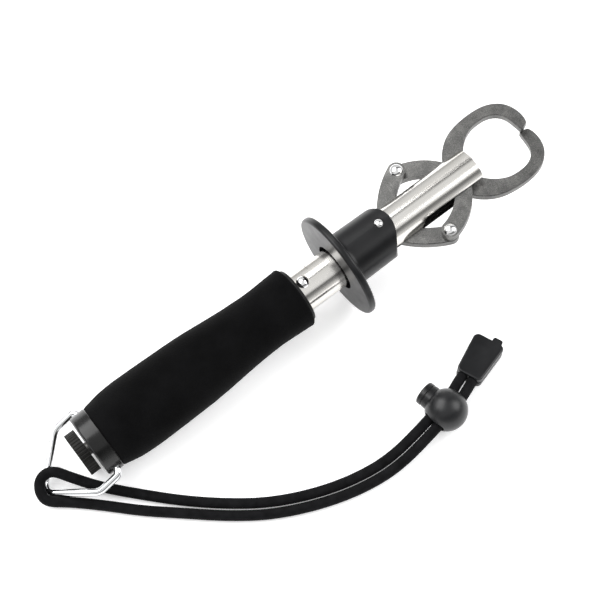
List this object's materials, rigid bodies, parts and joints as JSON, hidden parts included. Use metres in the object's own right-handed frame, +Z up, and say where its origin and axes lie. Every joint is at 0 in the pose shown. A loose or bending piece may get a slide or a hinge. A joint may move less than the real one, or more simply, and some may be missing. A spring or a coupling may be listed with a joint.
{
  "type": "lip grip",
  "caption": "Scissor-jawed fish lip grip: thumb collar on a sliding scale barrel, foam handle with rear adjuster, wire bail and cord lanyard with lock.",
  "frame": {"origin": "middle of the underside of the tool's box on the table, without the lanyard", "axes": "+X along the table towards the jaws, the longest extent; +Z up; +Y to the left seen from the handle"},
  "size_m": [0.2764, 0.1138, 0.0511],
  "materials": {
    "stainless_tube": "polished, fine lengthwise brushing",
    "jaw_steel": "matte, fine grain, bright edges",
    "bright_pin": "polished",
    "spring_steel": "bright wire",
    "bail_wire": "polished",
    "black_plastic": "satin",
    "cap_plastic": "semi gloss",
    "foam": "closed-cell foam, velvety",
    "acetal": "satin",
    "alloy_core": "drawn",
    "brass_nut": "turned",
    "cord_nylon": "braided, matte"
  },
  "bodies": {
    "handle": {"core_tube": "alloy_core", "front_bushing": "acetal", "foam_grip": "foam", "rear_cap": "cap_plastic", "spring_anchor": "brass_nut", "scale_spring": "spring_steel"},
    "adjuster": {"zero_knob": "black_plastic", "adjust_screw": "jaw_steel"},
    "barrel": {"barrel_tube": "stainless_tube", "stop_pin": "bright_pin", "spring_seat": "jaw_steel", "guide_ring": "acetal", "barrel_plug": "acetal", "rear_link_pin": "bright_pin", "trigger_spring": "spring_steel"},
    "trigger": {"trigger_collar": "black_plastic", "plunger": "acetal", "trigger_pin_top": "bright_pin", "trigger_pin_bottom": "bright_pin", "front_pivot_pin": "bright_pin"},
    "jaw_upper": {"jaw_upper": "jaw_steel"},
    "jaw_lower": {"jaw_lower": "jaw_steel"},
    "link_upper": {"link_upper": "jaw_steel", "rivet_left": "bright_pin"},
    "link_lower": {"link_lower": "jaw_steel", "rivet_right": "bright_pin"},
    "bail": {"bail": "bail_wire", "lanyard_cord": "cord_nylon", "cord_lock_body": "black_plastic", "cord_lock_spring": "spring_steel", "cord_end_cover": "black_plastic", "cord_end_base": "black_plastic"},
    "lock_button": {"cord_lock_button": "black_plastic"}
  },
  "joints": [
    {"name": "barrel_scale_slide", "type": "slide", "parent": "handle", "child": "barrel", "axis": [0.9972, 0, 0.0744], "range_m": [0, 0.016], "stiffness_N_per_m": 8000, "springref_m": -0.001, "deforming": ["scale_spring"]},
    {"name": "trigger_slide", "type": "slide", "parent": "barrel", "child": "trigger", "axis": [-0.9972, 0, -0.0744], "range_m": [0, 0.012], "stiffness_N_per_m": 500, "springref_m": -0.004, "deforming": ["trigger_spring"]},
    {"name": "jaw_upper_pivot", "type": "hinge", "parent": "trigger", "child": "jaw_upper", "pos_m": [0.09432, 0, 0.03071], "axis": [-0.0744, 0, 0.9972], "range_deg": [0, 16.2]},
    {"name": "jaw_lower_pivot", "type": "hinge", "parent": "trigger", "child": "jaw_lower", "pos_m": [0.09432, 0, 0.03071], "axis": [-0.0744, 0, 0.9972], "range_deg": [-16.2, 0]},
    {"name": "link_upper_pivot", "type": "hinge", "parent": "barrel", "child": "link_upper", "pos_m": [0.05334, 0, 0.02765], "axis": [-0.0744, 0, 0.9972], "range_deg": [0, 16.2]},
    {"name": "link_lower_pivot", "type": "hinge", "parent": "barrel", "child": "link_lower", "pos_m": [0.05334, 0, 0.02765], "axis": [-0.0744, 0, 0.9972], "range_deg": [-16.2, 0]},
    {"name": "zero_adjuster_turn", "type": "hinge", "parent": "handle", "child": "adjuster", "pos_m": [-0.1136, 0, 0.0152], "axis": [0.9972, 0, 0.0744], "continuous": true},
    {"name": "bail_hinge", "type": "hinge", "parent": "handle", "child": "bail", "pos_m": [-0.10612, 0, 0.01576], "axis": [0, 1, 0], "range_deg": [0, 60]},
    {"name": "lock_button_press", "type": "slide", "parent": "bail", "child": "lock_button", "axis": [0.2079, -0.9781, 0], "range_m": [0, 0.0013], "stiffness_N_per_m": 300, "springref_m": -0.003, "deforming": ["cord_lock_spring"]}
  ],
  "couplings": [
    {"joint": "jaw_upper_pivot", "follows": "trigger_slide", "rad_per_m": 23.2},
    {"joint": "jaw_lower_pivot", "follows": "trigger_slide", "rad_per_m": -23.2},
    {"joint": "link_upper_pivot", "follows": "trigger_slide", "rad_per_m": 23.2},
    {"joint": "link_lower_pivot", "follows": "trigger_slide", "rad_per_m": -23.2}
  ]
}
